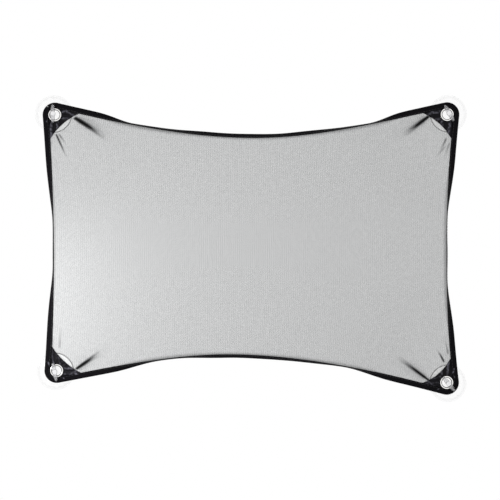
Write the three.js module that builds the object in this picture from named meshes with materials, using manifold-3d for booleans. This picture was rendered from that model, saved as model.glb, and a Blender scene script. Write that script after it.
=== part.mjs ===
// A car side window sunshade: a panel of silver stretch mesh, bound in black elastic tape and pulled
// tight between four clear suction cups. Each corner has a black cloth patch on both faces, clamped by
// a metal eyelet, and the T-shaped head of its cup is buttoned through that eyelet.
//
// Millimetres. +X is to the right and +Z is up, as seen by someone who faces the shade, and +Y goes
// into the window. The window glass is the plane y = 0 and the origin is the middle of the four cups.
// A height is a distance out from the glass, towards the viewer, so it is a place on -Y.

import * as THREE from 'three';
import { mergeVertices } from 'three/addons/utils/BufferGeometryUtils.js';
import Module from 'manifold-3d';

const { smoothstep, degToRad } = THREE.MathUtils;
const wasm = await Module();
wasm.setup();

// Where the cups are pressed on, and how far the hand put each one off the exact rectangle
const cupSpacingAcross = 424.4;
const cupSpacingUp = 283.2;
const cupOffsets = {
  top_left: [-1.0, -0.1],
  top_right: [0.2, 0.3],
  bottom_right: [-0.3, -7.2],
  bottom_left: [1.0, 5.6],
};
// The way each cup's T-head points, anticlockwise from +X
const headAngles = { top_left: 91, top_right: 120, bottom_right: -50, bottom_left: -78.5 };

// Air between pieces that lie on each other
const clearance = 0.3;

// Suction cup, one clear moulding
const cupRadius = 20;
const sealWidth = 2.4;
const rimThickness = 0.7;
const cavityDepth = 1.4;
const bossRadius = 7;
const stemRadius = 2.3;
const headLength = 19.5;
const headWidth = 5;
const headEndRadius = 1.4;
const headThickness = 2.6;
const lugReach = 17;
const lugRadius = 0.7;
const lugHeight = 2.3;

// Eyelet and the washer that it is riveted over
const boreRadius = 5.1;
const barrelWall = 0.4;
const flangeWidth = 1.6;
const flangeHeight = 1.15;
const rivetWidth = 1.3;
const rivetThickness = 0.6;
const washerThickness = 0.5;

// Mesh panel
const meshThickness = 0.45;
const meshLevel = 9;
const edgeLift = 3;
const crown = 2;
const flatReach = 30;
const curlRadius = 4;
const curlMargin = 3;

// Tape folded over the panel's edge
const tapeWidth = 6.3;
const tapeThickness = 0.5;
const tapeEndGap = 0.4;
// How far past the patches' legs the tape's slot starts to narrow to the mesh alone, and has narrowed
const slotTaper = [4, 14];

// Corner patches
const patchThickness = 0.6;
const patchLeg = 25.6;
const patchThroat = 12.8;
const patchTuck = 4;

// The four edges, clockwise from the top. sag is how far the tape's inner edge dips in from the straight
// line along both corners, deepest is the share of the way to its deepest place, and slopes are those at
// its two ends. The tape rolls back towards the glass: it starts to at one distance from an eyelet and is
// full at another, where it stands nearly edge on, at its peak in degrees. It is back to less by the middle.
const edges = [
  { sag: 32.2, deepest: 0.51, slopes: [0.235, 0.215], roll: { start: 34, full: 84, peak: 78, middle: 50 } },
  { sag: 7.6, deepest: 0.5, slopes: [0.105, 0.125], roll: { start: 30, full: 115, peak: 83, middle: 83 } },
  { sag: 30.6, deepest: 0.53, slopes: [0.235, 0.22], roll: { start: 42, full: 110, peak: 80, middle: 54 } },
  { sag: 5.1, deepest: 0.49, slopes: [0.085, 0.075], roll: { start: 30, full: 115, peak: 81, middle: 81 } },
];

// A pleat runs into the panel from each patch. Its start is measured in from the eyelet, and it sinks
// towards the glass.
const pleatStart = [23, 5];
const pleatRise = 6;
const pleatDepth = 3.4;
const pleatWidth = 4;
const pleatSpread = 0.16;
const pleats = {
  top_left: { angle: 31, length: 40 },
  top_right: { angle: 35.5, length: 34 },
  bottom_right: { angle: 36.5, length: 48 },
  bottom_left: { angle: 30, length: 38 },
};

// Sizes that follow from those above
const flangeRadius = boreRadius + flangeWidth;
const barrelRadius = boreRadius + barrelWall;
const clothHole = barrelRadius + clearance;
const seamRadius = flangeRadius + clearance;
const cornerStack = meshThickness / 2 + clearance + patchThickness;
const faceHeight = meshLevel + cornerStack + clearance;
const flangeTop = faceHeight + flangeHeight;
const washerTop = meshLevel - cornerStack - clearance;
const rivetTop = washerTop - washerThickness - clearance;
const rivetBottom = rivetTop - rivetThickness;
const bossHeight = rivetBottom - clearance;
const headBottom = flangeTop + clearance;
const eyeletPull = boreRadius - stemRadius - clearance;

// Corners in clockwise order. side is the quarter that the corner is in. The pull of the mesh draws each
// eyelet in, until its bore meets the cup's stem.
const corners = [
  ['top_left', -1, 1],
  ['top_right', 1, 1],
  ['bottom_right', 1, -1],
  ['bottom_left', -1, -1],
].map(([name, right, up]) => {
  const [across, rise] = cupOffsets[name];
  const cup = new THREE.Vector2(
    (right * cupSpacingAcross) / 2 + across,
    (up * cupSpacingUp) / 2 + rise,
  );
  const eyelet = cup.clone().setLength(cup.length() - eyeletPull);
  return { name, side: new THREE.Vector2(right, up), cup, eyelet };
});

// Solid geometry

function enclosedVolume(geometry) {
  const { position } = geometry.attributes;
  const [a, b, c] = [0, 1, 2].map(() => new THREE.Vector3());
  let volume = 0;
  for (let i = 0; i < geometry.index.count; i += 3) {
    [a, b, c].forEach((v, n) => v.fromBufferAttribute(position, geometry.index.getX(i + n)));
    volume += a.dot(b.cross(c)) / 6;
  }
  return volume;
}

// The geometry with its equal corners merged and its faces pointing out
function sealed(geometry) {
  const bare = new THREE.BufferGeometry();
  bare.setAttribute('position', geometry.getAttribute('position'));
  if (geometry.index) bare.setIndex(geometry.index);
  const merged = mergeVertices(bare, 1e-4);
  if (enclosedVolume(merged) < 0) {
    merged.setIndex([...merged.index.array].reverse());
  }
  return merged;
}

function fromFaces(points, faces) {
  const geometry = new THREE.BufferGeometry();
  const numbers = points.flatMap((p) => p.toArray());
  geometry.setAttribute('position', new THREE.Float32BufferAttribute(numbers, 3));
  geometry.setIndex(faces.flat());
  return sealed(geometry);
}

function toManifold(geometry) {
  const whole = sealed(geometry);
  return new wasm.Manifold(
    new wasm.Mesh({
      numProp: 3,
      vertProperties: new Float32Array(whole.attributes.position.array),
      triVerts: new Uint32Array(whole.index.array),
    }),
  );
}

function toGeometry(manifold) {
  const mesh = manifold.getMesh();
  const geometry = new THREE.BufferGeometry();
  geometry.setAttribute('position', new THREE.BufferAttribute(mesh.vertProperties, 3));
  geometry.setIndex(new THREE.BufferAttribute(mesh.triVerts, 1));
  return geometry;
}

// A solid turned about the Y axis, from [radius, height] pairs
function turned(profile, segments) {
  const points = profile.map(([radius, height]) => new THREE.Vector2(radius, -height));
  return sealed(new THREE.LatheGeometry(points, segments));
}

// A flat outline in X and Z, thickened from one height out to another
function slab(shape, from, to, curveSegments) {
  const geometry = new THREE.ExtrudeGeometry(shape, {
    depth: to - from,
    bevelEnabled: false,
    curveSegments,
  });
  return sealed(geometry.rotateX(Math.PI / 2).translate(0, -from, 0));
}

// Path of the tape's inner edge, where it meets the mesh

// The height and slope of a smooth curve at a, between two knots that state both
function between(from, to, a) {
  const span = to.a - from.a;
  const t = (a - from.a) / span;
  const depth =
    from.d * (2 * t ** 3 - 3 * t ** 2 + 1) +
    span * from.slope * (t ** 3 - 2 * t ** 2 + t) +
    to.d * (3 * t ** 2 - 2 * t ** 3) +
    span * to.slope * (t ** 3 - t ** 2);
  const slope =
    ((to.d - from.d) * (6 * t - 6 * t ** 2)) / span +
    from.slope * (3 * t ** 2 - 4 * t + 1) +
    to.slope * (3 * t ** 2 - 2 * t);
  return { depth, slope };
}

// One edge of the shade, from its corner to the next one clockwise
function edgePath(k) {
  const { sag, deepest, slopes, roll } = edges[k];
  const start = corners[k].eyelet;
  const along = corners[(k + 1) % 4].eyelet.clone().sub(start);
  const length = along.length();
  along.normalize();
  const outward = new THREE.Vector2(-along.y, along.x);
  const [leanStart, leanEnd] = slopes.map(Math.atan);
  const first = {
    a: seamRadius * Math.sin(leanStart),
    d: seamRadius * (1 - Math.cos(leanStart)),
    slope: slopes[0],
  };
  const middle = { a: length * deepest, d: sag, slope: 0 };
  const last = {
    a: length - seamRadius * Math.sin(leanEnd),
    d: seamRadius * (1 - Math.cos(leanEnd)),
    slope: -slopes[1],
  };

  // The place a along the straight line between the eyelets
  function at(a) {
    const { depth, slope } = a < middle.a ? between(first, middle, a) : between(middle, last, a);
    const seam = start.clone().addScaledVector(along, a).addScaledVector(outward, seamRadius - depth);
    const out = outward.clone().addScaledVector(along, slope).normalize();
    const reach = Math.min(a, length - a);
    const degrees =
      roll.peak * smoothstep(reach, roll.start, roll.full) -
      (roll.peak - roll.middle) * smoothstep(reach, roll.full, length / 2);
    return { seam, out, roll: degToRad(degrees), reach };
  }
  return { at, from: first.a, to: last.a, length };
}

const paths = edges.map((_, k) => edgePath(k));

// The places on the round of one corner, between two shares of its turn
function cornerPlaces(k, fromShare, toShare, steps) {
  const before = paths[(k + 3) % 4];
  const normalIn = before.at(before.to).out.angle();
  const normalOut = paths[k].at(paths[k].from).out.angle();
  const turn = THREE.MathUtils.euclideanModulo(normalIn - normalOut, 2 * Math.PI);
  return Array.from({ length: steps + 1 }, (_, i) => {
    const angle = normalIn - turn * (fromShare + ((toShare - fromShare) * i) / steps);
    const out = new THREE.Vector2(Math.cos(angle), Math.sin(angle));
    const seam = corners[k].eyelet.clone().addScaledVector(out, seamRadius);
    return { seam, out, roll: 0, reach: 0 };
  });
}

// Places along one whole edge, from the middle of its first corner to the middle of its last. They lie
// close together near the corners and where the tape twists.
const cornerSteps = 2;
const zones = [
  { upTo: 40, steps: 6 },
  { upTo: 112, steps: 5 },
];
const middleSteps = [3, 2, 3, 2];

function edgePlaces(k) {
  const { at, from, to, length } = paths[k];
  const near = [from];
  for (const { upTo, steps } of zones) {
    const begin = near.at(-1);
    const end = (upTo * length) / paths[k % 2 ? 1 : 0].length;
    for (let i = 1; i <= steps; i++) near.push(begin + ((end - begin) * i) / steps);
  }
  const far = near.map((a) => length - a + (to - (length - from))).reverse();
  const gap = far[0] - near.at(-1);
  const middle = Array.from(
    { length: middleSteps[k] - 1 },
    (_, i) => near.at(-1) + (gap * (i + 1)) / middleSteps[k],
  );
  return [
    ...cornerPlaces(k, 0.5, 1, cornerSteps).slice(0, -1),
    ...[...near, ...middle, ...far].map(at),
    ...cornerPlaces((k + 1) % 4, 0, 0.5, cornerSteps).slice(1),
  ];
}

// Shape of the mesh

function nearestEyelet(x, z) {
  return Math.min(...corners.map(({ eyelet }) => Math.hypot(x - eyelet.x, z - eyelet.y)));
}

// How far a corner's pleat sinks at a place
function pleatAt(x, z) {
  let sink = 0;
  for (const { name, side, eyelet } of corners) {
    const { angle, length } = pleats[name];
    const across = (eyelet.x - x) * side.x - pleatStart[0];
    const up = (eyelet.y - z) * side.y - pleatStart[1];
    const [c, s] = [Math.cos(degToRad(angle)), Math.sin(degToRad(angle))];
    const run = across * c + up * s;
    const off = up * c - across * s;
    const width = pleatWidth + pleatSpread * Math.max(run, 0);
    const hollow = Math.max(0, 1 - (off / width) ** 2) ** 2;
    const fade = smoothstep(run, 0, pleatRise) * (1 - smoothstep(run, pleatRise, length));
    sink += pleatDepth * hollow * fade;
  }
  return sink;
}

// Height of the mesh's middle, flat around the eyelets and bellied out towards the middle
function meshHeight(x, z) {
  const reach = nearestEyelet(x, z);
  const lift = edgeLift * smoothstep(reach, flatReach, 4 * flatReach);
  const belly = crown * smoothstep(reach, 2 * flatReach, 7 * flatReach);
  return meshLevel + lift + belly - pleatAt(x, z);
}

// Places through the curled edge of the mesh. inset is the length of mesh in from the seam, and is
// negative inside the tape. rise is a distance out from the mesh's middle, square to it.
function curlPoint({ seam, out, roll }, inset, rise = 0) {
  const curl = curlRadius * roll;
  const flatStart = seam
    .clone()
    .addScaledVector(out, -(curlRadius * Math.sin(roll) + curlMargin));
  const base = meshHeight(flatStart.x, flatStart.y);
  const angle = inset < 0 ? roll : Math.max(0, roll - inset / curlRadius);
  const beyond = Math.max(0, -inset);
  const flat = Math.max(0, inset - curl);
  const back = curlRadius * (Math.sin(roll) - Math.sin(angle)) + flat;
  const drop = curlRadius * (1 - Math.cos(angle));
  const place = seam
    .clone()
    .addScaledVector(out, beyond * Math.cos(roll) - back + rise * Math.sin(angle));
  const height = base - drop - beyond * Math.sin(roll) + rise * Math.cos(angle);
  return new THREE.Vector3(place.x, -height, place.y);
}

// Share of the way along a row of places at which each one lies
function shares(row) {
  const runs = [0];
  for (let i = 1; i < row.length; i++) {
    runs.push(runs[i - 1] + row[i].distanceTo(row[i - 1]));
  }
  return runs.map((run) => run / runs.at(-1));
}

const hemDepth = tapeWidth - tapeThickness - clearance;

function meshPanel() {
  const insetOf = ({ roll }) => curlRadius * roll + curlMargin;
  const sides = corners.map((_, k) => edgePlaces(k));
  const rows = sides.map((places) =>
    places.map((place) => {
      const p = curlPoint(place, insetOf(place));
      return new THREE.Vector2(p.x, p.z);
    }),
  );
  const [top, right] = rows;
  const bottom = [...rows[2]].reverse();
  const left = [...rows[3]].reverse();
  const across = top.length - 1;
  const down = right.length - 1;
  const mean = (a, b) => a.map((value, i) => (value + b[i]) / 2);
  const us = mean(shares(top), shares(bottom));
  const vs = mean(shares(left), shares(right));

  // The field inside the curl, spanned evenly between its four edges
  const points = [];
  for (let j = 0; j <= down; j++) {
    for (let i = 0; i <= across; i++) {
      const [u, v] = [us[i], vs[j]];
      const p = new THREE.Vector2()
        .addScaledVector(top[i], 1 - v)
        .addScaledVector(bottom[i], v)
        .addScaledVector(left[j], 1 - u)
        .addScaledVector(right[j], u)
        .addScaledVector(top[0], -(1 - u) * (1 - v))
        .addScaledVector(top[across], -u * (1 - v))
        .addScaledVector(bottom[0], -(1 - u) * v)
        .addScaledVector(bottom[across], -u * v);
      points.push(new THREE.Vector3(p.x, -meshHeight(p.x, p.y), p.y));
    }
  }
  const field = (i, j) => j * (across + 1) + i;
  const faces = [];
  const addQuad = (a, b, c, d) => faces.push([a, b, c], [a, c, d]);
  for (let j = 0; j < down; j++) {
    for (let i = 0; i < across; i++) {
      addQuad(field(i, j), field(i + 1, j), field(i + 1, j + 1), field(i, j + 1));
    }
  }

  // The curl and the hem, as rings around the field
  const loop = sides.flatMap((places) => places.slice(0, -1));
  let inner = [
    ...Array.from({ length: across }, (_, i) => field(i, 0)),
    ...Array.from({ length: down }, (_, j) => field(across, j)),
    ...Array.from({ length: across }, (_, i) => field(across - i, down)),
    ...Array.from({ length: down }, (_, j) => field(0, down - j)),
  ];
  const rings = [(place) => insetOf(place) / 2, () => 0, () => -hemDepth];
  for (const inset of rings) {
    const outer = loop.map((place) => points.push(curlPoint(place, inset(place))) - 1);
    loop.forEach((_, i) => {
      const next = (i + 1) % loop.length;
      addQuad(inner[i], outer[i], outer[next], inner[next]);
    });
    inner = outer;
  }

  return thickened(points, faces, inner, meshThickness);
}

// A closed sheet of one thickness around a surface, whose open edge is the loop rim
function thickened(points, faces, rim, thickness) {
  const normals = points.map(() => new THREE.Vector3());
  for (const [a, b, c] of faces) {
    const side = points[b].clone().sub(points[a]);
    side.cross(points[c].clone().sub(points[a]));
    for (const n of [a, b, c]) normals[n].add(side);
  }
  const offset = (amount) =>
    points.map((p, n) => p.clone().addScaledVector(normals[n].normalize(), amount));
  const count = points.length;
  const both = [...offset(thickness / 2), ...offset(-thickness / 2)];
  const shell = [...faces, ...faces.map(([a, b, c]) => [c + count, b + count, a + count])];
  rim.forEach((a, i) => {
    const b = rim[(i + 1) % rim.length];
    shell.push([a, a + count, b + count], [a, b + count, b]);
  });
  return fromFaces(both, shell);
}

function clothHoles(geometry) {
  const depth = 10 * meshThickness;
  let solid = toManifold(geometry);
  for (const { eyelet } of corners) {
    const punch = new THREE.CylinderGeometry(clothHole, clothHole, depth, 24);
    punch.translate(eyelet.x, -meshLevel, eyelet.y);
    solid = solid.subtract(toManifold(punch));
  }
  return toGeometry(solid);
}

// Tape, folded over the mesh with the patches' edges inside it at the corners
function edgeBinding() {
  const slotAtSide = meshThickness / 2 + clearance;
  const slotAtCorner = cornerStack + clearance;
  const loop = corners.flatMap((_, k) => edgePlaces(k).slice(k ? 1 : 0));
  const section = (place) => {
    const slim = smoothstep(place.reach, ...slotTaper.map((past) => patchLeg + past));
    const slot = slotAtCorner + (slotAtSide - slotAtCorner) * slim;
    const wall = slot + tapeThickness;
    const fold = tapeWidth - tapeThickness;
    return [
      [0, wall],
      [fold, wall],
      [tapeWidth, slot / 2],
      [tapeWidth, -slot / 2],
      [fold, -wall],
      [0, -wall],
      [0, -slot],
      [fold, -slot],
      [fold, slot],
      [0, slot],
    ];
  };
  const rings = loop.map((place) => section(place).map(([a, rise]) => curlPoint(place, -a, rise)));

  // The two ends of the tape all but meet at the middle of the first corner
  const pullBack = (ring, next) => {
    const way = next[0].clone().sub(ring[0]).setLength(tapeEndGap / 2);
    ring.forEach((p) => p.add(way));
  };
  pullBack(rings[0], rings[1]);
  pullBack(rings.at(-1), rings.at(-2));

  const n = rings[0].length;
  const faces = [];
  for (let k = 0; k < rings.length - 1; k++) {
    const depths = section(loop[k]).map(([depth]) => depth);
    for (let i = 0; i < n; i++) {
      const [a, b] = [k * n + i, k * n + ((i + 1) % n)];
      if (depths[i] > depths[(i + 1) % n]) faces.push([a, b, a + n], [b, b + n, a + n]);
      else faces.push([a, b, b + n], [a, b + n, a + n]);
    }
  }
  const cap = [
    [0, 1, 9],
    [1, 8, 9],
    [1, 2, 8],
    [2, 3, 8],
    [3, 7, 8],
    [3, 4, 7],
    [4, 6, 7],
    [4, 5, 6],
  ];
  const end = (rings.length - 1) * n;
  for (const [a, b, c] of cap) {
    faces.push([c, b, a], [end + a, end + b, end + c]);
  }
  return fromFaces(rings.flat(), faces);
}

// Corner patch, the same cut on both faces of the mesh
function patchShape(k) {
  const before = paths[(k + 3) % 4];
  const after = paths[k];
  const steps = 4;
  const leg = (path, from, to) =>
    Array.from({ length: steps + 1 }, (_, i) => path.at(from + ((to - from) * i) / steps));
  const places = [
    ...leg(before, before.length - patchLeg, before.to),
    ...cornerPlaces(k, 0, 1, 2 * cornerSteps).slice(1, -1),
    ...leg(after, after.from, patchLeg),
  ];
  const outer = places.map(({ seam, out }) => seam.clone().addScaledVector(out, patchTuck));
  const { eyelet } = corners[k];
  const [one, two] = [places[0].seam, places.at(-1).seam];
  const middle = one.clone().add(two).multiplyScalar(0.5);
  const throat = middle.clone().sub(eyelet).setLength(patchThroat).add(eyelet);
  const control = throat.multiplyScalar(2).sub(middle);
  const shape = new THREE.Shape([...outer, two]);
  shape.quadraticCurveTo(control.x, control.y, one.x, one.y);
  const hole = new THREE.Path();
  hole.absarc(eyelet.x, eyelet.y, clothHole, 0, 2 * Math.PI, false);
  shape.holes.push(hole);
  return shape;
}

// Eyelet: a domed flange on the front, a barrel through the cloth, and a rim riveted over the washer
const eyeletProfile = [
  [boreRadius, rivetBottom + barrelWall / 2],
  [boreRadius, flangeTop - barrelWall],
  [boreRadius + barrelWall, flangeTop],
  [flangeRadius - flangeWidth / 3, flangeTop - flangeHeight / 5],
  [flangeRadius, faceHeight],
  [barrelRadius, faceHeight],
  [barrelRadius, rivetTop],
  [boreRadius + rivetWidth, rivetTop],
  [boreRadius + rivetWidth, rivetBottom + barrelWall / 2],
  [boreRadius + barrelWall, rivetBottom],
  [boreRadius, rivetBottom + barrelWall / 2],
];
const washerProfile = [
  [barrelRadius + clearance, washerTop - washerThickness],
  [flangeRadius, washerTop - washerThickness],
  [flangeRadius, washerTop],
  [barrelRadius + clearance, washerTop],
  [barrelRadius + clearance, washerTop - washerThickness],
];

// Suction cup: a flat sealing ring around a shallow hollow, a boss, a stem and the T-head
function suctionCup() {
  const sealInner = cupRadius - sealWidth;
  const body = turned(
    [
      [0, cavityDepth],
      [sealInner * 0.5, cavityDepth * 0.8],
      [sealInner * 0.8, cavityDepth * 0.35],
      [sealInner, 0],
      [cupRadius, 0],
      [cupRadius, rimThickness],
      [sealInner, 2 * rimThickness],
      [(sealInner + bossRadius) / 2, bossHeight * 0.42],
      [bossRadius * 1.2, bossHeight * 0.66],
      [bossRadius, bossHeight - clearance],
      [bossRadius - clearance, bossHeight],
      [stemRadius, bossHeight],
      [stemRadius, headBottom + headThickness / 2],
      [0, headBottom + headThickness / 2],
    ],
    24,
  );
  const tip = headLength / 2 - headEndRadius;
  const bulge = headWidth - headEndRadius;
  const outline = new THREE.Shape();
  outline.moveTo(-tip, -headEndRadius);
  outline.quadraticCurveTo(0, -bulge, tip, -headEndRadius);
  outline.absarc(tip, 0, headEndRadius, -Math.PI / 2, Math.PI / 2, false);
  outline.quadraticCurveTo(0, bulge, -tip, headEndRadius);
  outline.absarc(-tip, 0, headEndRadius, Math.PI / 2, (3 * Math.PI) / 2, false);
  const head = slab(outline, headBottom, headBottom + headThickness, 5);
  const lug = new THREE.CylinderGeometry(lugRadius, lugRadius, lugHeight - rimThickness, 8);
  lug.translate(lugReach, -(lugHeight + rimThickness) / 2, 0);
  return toGeometry(toManifold(body).add(toManifold(head)).add(toManifold(lug)));
}

// Materials

const silverMesh = new THREE.MeshStandardMaterial({ color: 0xb9bab9, roughness: 0.6, metalness: 0.2 });
const blackTape = new THREE.MeshStandardMaterial({ color: 0x0d0c0e, roughness: 0.75, metalness: 0 });
const blackCloth = new THREE.MeshStandardMaterial({ color: 0x17151b, roughness: 0.5, metalness: 0 });
const nickel = new THREE.MeshStandardMaterial({ color: 0xd9d9d6, roughness: 0.15, metalness: 1 });
const clearVinyl = new THREE.MeshStandardMaterial({
  color: 0xf2f5f4,
  roughness: 0.08,
  metalness: 0,
  transparent: true,
  opacity: 0.35,
});

// Assembly

const shade = new THREE.Group();
const add = (name, geometry, material) => {
  const mesh = new THREE.Mesh(geometry, material);
  mesh.name = name;
  shade.add(mesh);
  return mesh;
};

add('mesh_panel', clothHoles(meshPanel()), silverMesh);
add('edge_binding', edgeBinding(), blackTape);

const frontPatchFrom = meshLevel + meshThickness / 2 + clearance;
const backPatchFrom = meshLevel - cornerStack;
corners.forEach(({ name, cup, eyelet }, k) => {
  const shape = patchShape(k);
  const [front, back] = [frontPatchFrom, backPatchFrom].map((from) =>
    slab(shape, from, from + patchThickness, 6),
  );
  add(`corner_patch_front_${name}`, front, blackCloth);
  add(`corner_patch_back_${name}`, back, blackCloth);

  const rings = [
    add(`eyelet_${name}`, turned(eyeletProfile, 20), nickel),
    add(`eyelet_washer_${name}`, turned(washerProfile, 20), nickel),
  ];
  rings.forEach((ring) => ring.position.set(eyelet.x, 0, eyelet.y));

  const moulding = add(`suction_cup_${name}`, suctionCup(), clearVinyl);
  moulding.position.set(cup.x, 0, cup.y);
  moulding.rotation.y = -degToRad(headAngles[name]);
});

export default shade;
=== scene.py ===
"""A car side window sunshade: silver stretch mesh, bound in black tape and held by four clear suction cups.

Metres. +X is to the right and +Z is up for someone who faces the shade, and the window glass is y = 0. A
height is a distance out from the glass, towards the viewer, so it is a place on -Y. The corners go
clockwise from the top left, and so do the edges, which each start at the corner of the same number.
"""

import math

import bmesh
import bpy
import numpy as np
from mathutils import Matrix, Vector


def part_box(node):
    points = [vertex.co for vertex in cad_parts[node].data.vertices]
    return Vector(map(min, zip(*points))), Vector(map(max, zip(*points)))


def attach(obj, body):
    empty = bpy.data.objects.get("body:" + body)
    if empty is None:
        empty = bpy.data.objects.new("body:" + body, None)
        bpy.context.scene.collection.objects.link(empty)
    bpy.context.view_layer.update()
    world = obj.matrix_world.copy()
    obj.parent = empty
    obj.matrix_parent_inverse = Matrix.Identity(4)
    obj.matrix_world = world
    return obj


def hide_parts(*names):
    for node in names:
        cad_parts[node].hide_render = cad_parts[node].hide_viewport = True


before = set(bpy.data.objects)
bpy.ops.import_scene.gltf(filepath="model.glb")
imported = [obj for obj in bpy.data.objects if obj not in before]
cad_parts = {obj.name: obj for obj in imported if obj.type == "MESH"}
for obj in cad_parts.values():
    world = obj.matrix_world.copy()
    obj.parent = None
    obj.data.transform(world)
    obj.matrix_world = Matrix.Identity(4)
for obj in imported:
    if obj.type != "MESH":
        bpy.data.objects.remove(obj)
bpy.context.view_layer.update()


# The camera: straight in front of the shade and level with it, as for the photograph, which is a little
# wider than the shade. Its frame is taken to be as wide as it is tall.
VIEW_WIDTH = 0.5375
VIEW_MIDDLE = (-0.00145, -0.00505)
CAMERA_DISTANCE = 2.4
SENSOR_WIDTH = 36
MESH_LEVEL = 0.009

camera_data = bpy.data.cameras.new("camera")
camera_data.sensor_width = SENSOR_WIDTH
camera_data.lens = SENSOR_WIDTH * CAMERA_DISTANCE / VIEW_WIDTH
camera = bpy.data.objects.new("camera", camera_data)
camera.location = (VIEW_MIDDLE[0], -MESH_LEVEL - CAMERA_DISTANCE, VIEW_MIDDLE[1])
camera.rotation_euler = (math.pi / 2, 0, 0)
bpy.context.collection.objects.link(camera)
bpy.context.scene.camera = camera


# The stretch mesh: a knitted polyester net with a silver coat, cut as a rectangle and pulled into four
# hollow-sided edges by its corners. Its edge curls back towards the glass and ends in the tape.
CORNERS = ("top_left", "top_right", "bottom_right", "bottom_left")
INWARD = np.array([[1, -1], [-1, -1], [-1, 1], [1, 1]])
CLEARANCE = 0.0003
SEAM_RADIUS = 0.0070
MESH_THICKNESS = 0.00045
EDGE_LIFT = 0.003
CROWN = 0.002
LIFT_REACH = (0.030, 0.120)
BELLY_REACH = (0.060, 0.210)
CURL_RADIUS = 0.004
CURL_MARGIN = 0.003
TAPE_WIDTH = 0.0063
TAPE_THICKNESS = 0.0006
CLOTH_HOLE = 0.0058
HOLE_START = 0.0012
HOLE_STRETCH = 0.011
GRID_STEP = 0.0042
GRID_STEP_CORNER = 0.00097
CORNER_ZONE = 0.045
CORNER_STEPS = 8
EDGE_SAMPLES = 1500
HEM_STEPS = 3
CURL_STEPS = 9
FLAT_SIZE = (0.400, 0.265)

# For each edge: how far its middle dips in, the share of the way to the deepest place, its slopes at both
# ends, and its roll back towards the glass, which starts and is full at two distances from an eyelet. The
# roll is in degrees, at its peak and in the middle of the edge, which it is back to at a third distance.
EDGES = (
    {"sag": 0.0322, "deepest": 0.51, "slopes": (0.235, 0.215), "roll": (0.034, 0.084, 78, 48, 0.165)},
    {"sag": 0.0076, "deepest": 0.50, "slopes": (0.105, 0.125), "roll": (0.030, 0.115, 83, 83, 0.140)},
    {"sag": 0.0306, "deepest": 0.53, "slopes": (0.235, 0.220), "roll": (0.042, 0.110, 80, 54, 0.180)},
    {"sag": 0.0051, "deepest": 0.49, "slopes": (0.085, 0.075), "roll": (0.030, 0.115, 77, 77, 0.140)},
)

# Each wave of the tape's slack: its size in degrees, its run over a radian and its shift from edge to edge
SLACK_WAVES = ((2.5, 0.0173, 2), (1.5, 0.0091, 1))

# The folds that run into the mesh from each patch: the corner, the start measured in from the eyelet, the
# angle from level, the length and the depth, half the width on the side of the nearer long edge and on the
# other side, how much wider the fold grows per metre, and how dark its bottom is painted, a painted shade. A
# corner's main fold is its first row. The wide shallow ones are painted soft shades beside the main folds.
FOLDS = (
    (0, (0.0195, 0.0025), 31.5, 0.050, 0.0036, (0.0030, 0.0013), 0.060, 2.2),
    (0, (0.0230, 0.0050), 24.0, 0.066, 0.0003, (0.0100, 0.0060), 0.120, 0.17),
    (0, (0.0006, 0.0195), 65.5, 0.036, 0.0012, (0.0011, 0.0008), 0.000, 2.6),
    (0, (0.0032, 0.0190), 55.0, 0.022, 0.0006, (0.0009, 0.0008), 0.010, 0.8),
    (1, (0.0180, 0.0010), 37.0, 0.042, 0.0034, (0.0022, 0.0013), 0.060, 2.2),
    (1, (0.0220, 0.0040), 31.0, 0.062, 0.0003, (0.0080, 0.0060), 0.120, 0.15),
    (1, (0.0000, 0.0240), 66.0, 0.024, 0.0008, (0.0012, 0.0010), 0.030, 0.6),
    (1, (-0.0030, 0.0290), 74.0, 0.022, 0.0006, (0.0012, 0.0010), 0.030, 0.4),
    (1, (0.0010, 0.0330), 50.0, 0.024, 0.0005, (0.0012, 0.0010), 0.030, 0.3),
    (2, (0.0180, 0.0014), 37.0, 0.050, 0.0036, (0.0011, 0.0012), 0.050, 2.4),
    (2, (0.0220, 0.0040), 35.0, 0.062, 0.0003, (0.0060, 0.0080), 0.120, 0.15),
    (2, (0.0018, 0.0205), 62.0, 0.020, 0.0016, (0.0009, 0.0009), 0.020, 2.0),
    (2, (-0.0020, 0.0290), 80.0, 0.022, 0.0006, (0.0010, 0.0010), 0.030, 0.5),
    (3, (0.0195, 0.0010), 34.0, 0.042, 0.0034, (0.0020, 0.0013), 0.060, 2.2),
    (3, (0.0230, 0.0040), 31.0, 0.058, 0.0003, (0.0060, 0.0070), 0.120, 0.13),
    (3, (0.0030, 0.0230), 86.0, 0.034, 0.0009, (0.0010, 0.0010), 0.020, 0.4),
)
FOLD_RISE = 0.003
FOLD_CORE = 0.48

# Columns of an array of places along the seam, where the tape's inner edge meets the mesh
SEAM = slice(0, 2)
OUT = slice(2, 4)
ROLL = 4
REACH = 5


def middle_of(node):
    """The middle of a node's box, in X and Z."""
    low, high = np.array([list(corner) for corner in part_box(node)])
    return ((low + high) / 2)[[0, 2]]


eyelet_at = np.array([middle_of(f"eyelet_{corner}") for corner in CORNERS])
cup_at = np.array([middle_of(f"suction_cup_{corner}") for corner in CORNERS])


def smoothstep(x, low, high):
    """0 below low, 1 above high, and 3t^2 - 2t^3 between them."""
    t = np.clip((x - low) / (high - low), 0, 1)
    return t * t * (3 - 2 * t)


def edge_span(k):
    """Start, direction, outward direction and length of the line between an edge's two eyelets."""
    start = eyelet_at[k]
    along = eyelet_at[(k + 1) % 4] - start
    length = np.hypot(*along)
    along = along / length
    return start, along, np.array([-along[1], along[0]]), length


def edge_ends(k):
    """Where the round corners end on an edge, as distances from its first eyelet."""
    lean = np.arctan(EDGES[k]["slopes"])
    length = edge_span(k)[3]
    return SEAM_RADIUS * math.sin(lean[0]), length - SEAM_RADIUS * math.sin(lean[1])


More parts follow.
